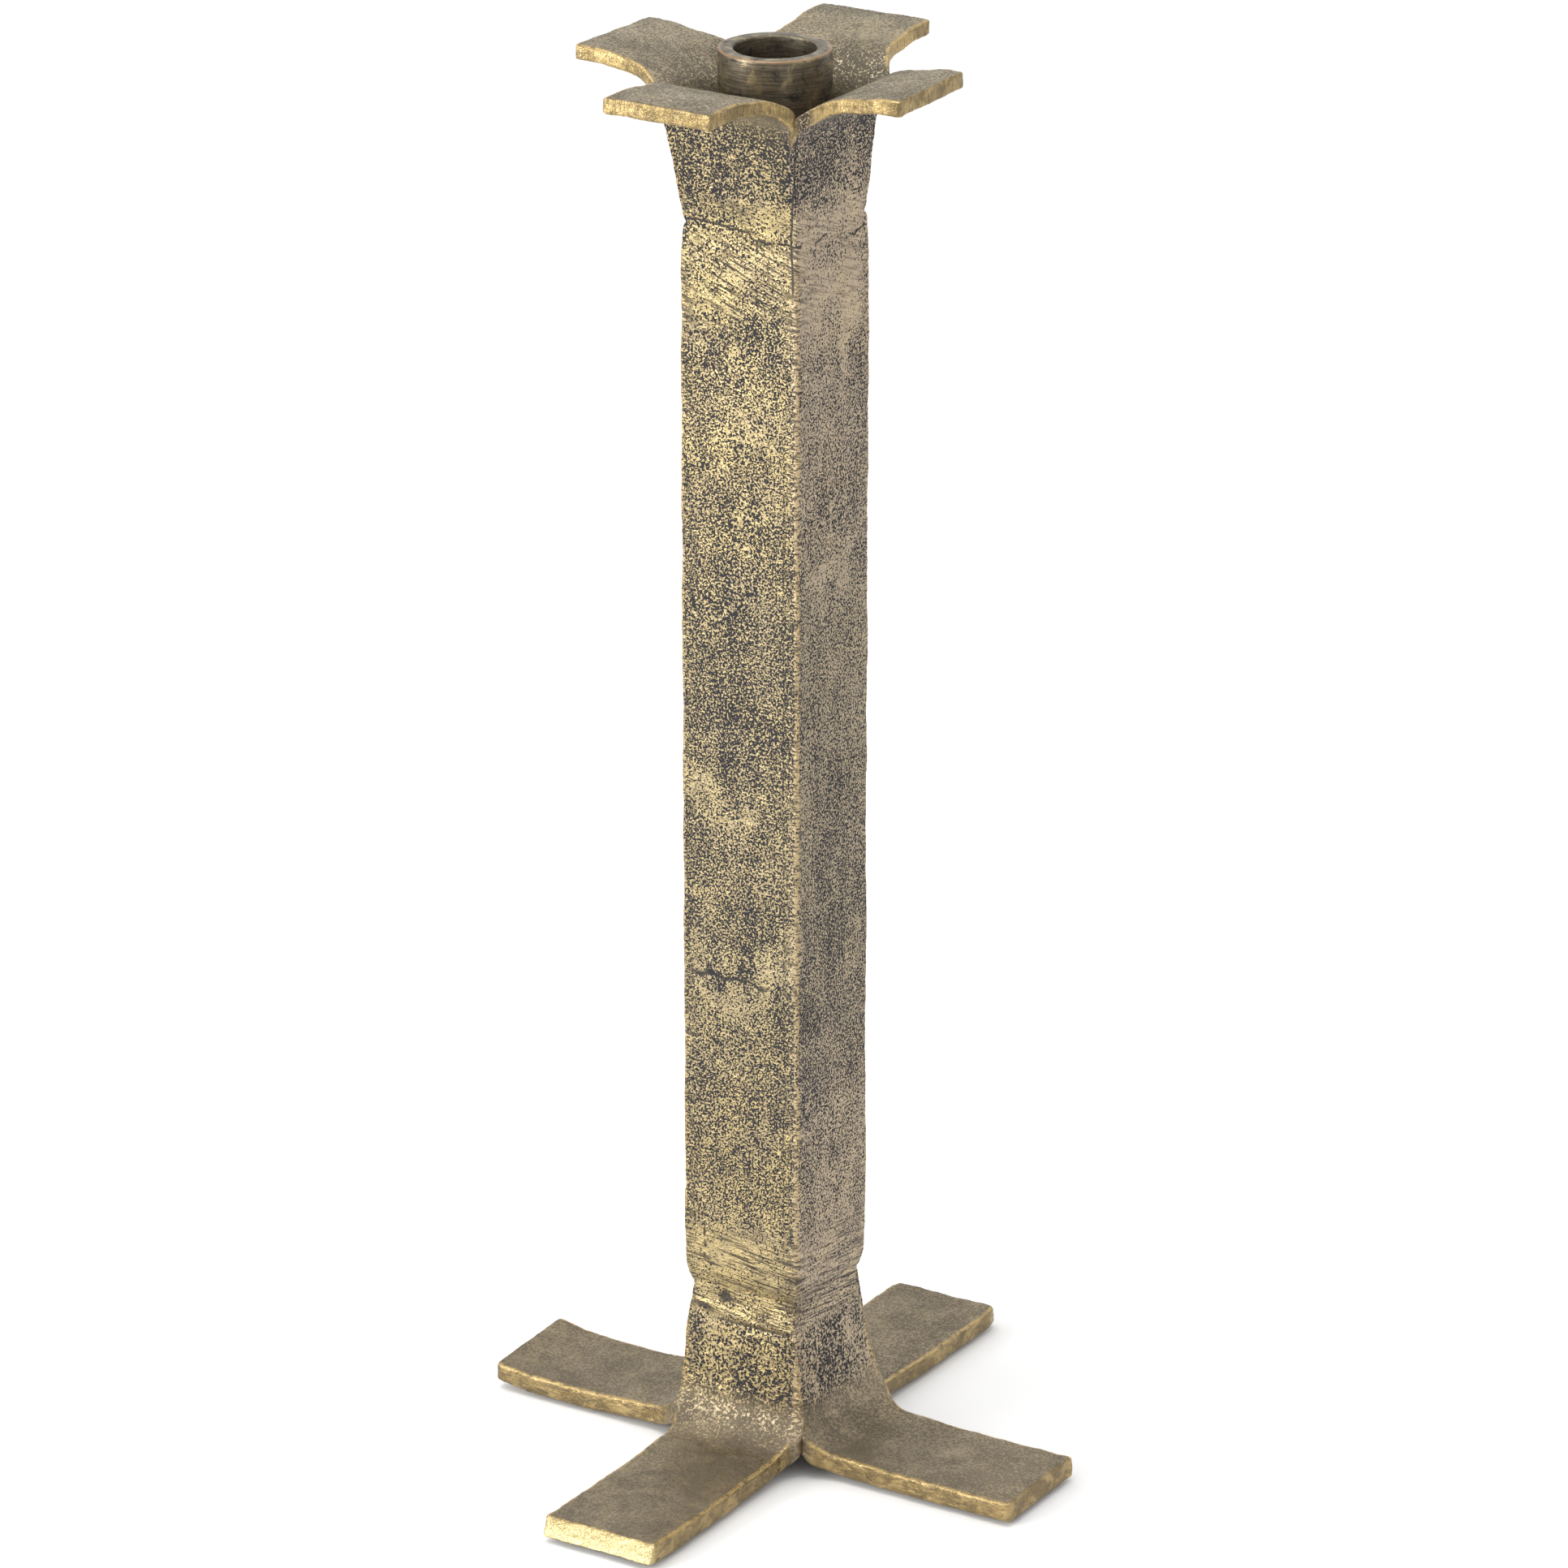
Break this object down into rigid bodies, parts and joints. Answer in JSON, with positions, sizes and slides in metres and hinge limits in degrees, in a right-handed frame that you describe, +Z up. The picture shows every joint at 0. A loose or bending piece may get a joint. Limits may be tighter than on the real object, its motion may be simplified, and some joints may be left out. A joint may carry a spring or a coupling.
{
  "type": "candlestick",
  "caption": "Tall square-shafted candlestick with splayed flat feet, flared flat petals and a round cup that holds a dinner candle.",
  "frame": {"origin": "on the ground under the middle of the shaft", "axes": "+Z up the shaft, -Y is the front face, +X is the right face"},
  "size_m": [0.17, 0.1874, 0.4],
  "materials": {
    "brass": "rough cast, dark patina left in the pits, rubbed bright on the high spots",
    "weld": "weld metal ground back with coarse streaks",
    "cup": "turned and darkened, fine rings round the bore",
    "steel": "plain machine screw steel",
    "felt": "thin dark felt"
  },
  "bodies": {
    "root": {"foot_front": "brass", "foot_right": "brass", "foot_back": "brass", "foot_left": "brass", "shaft_wall_front": "brass", "shaft_wall_right": "brass", "shaft_wall_back": "brass", "shaft_wall_left": "brass", "petal_front": "brass", "petal_right": "brass", "petal_back": "brass", "petal_left": "brass", "cup_plate": "brass", "lower_weld_seam": "weld", "upper_weld_seam": "weld", "candle_cup": "cup", "cup_screw": "steel", "cup_washer": "steel", "cup_nut": "steel", "foot_pad_front": "felt", "foot_pad_right": "felt", "foot_pad_back": "felt", "foot_pad_left": "felt"}
  },
  "joints": []
}
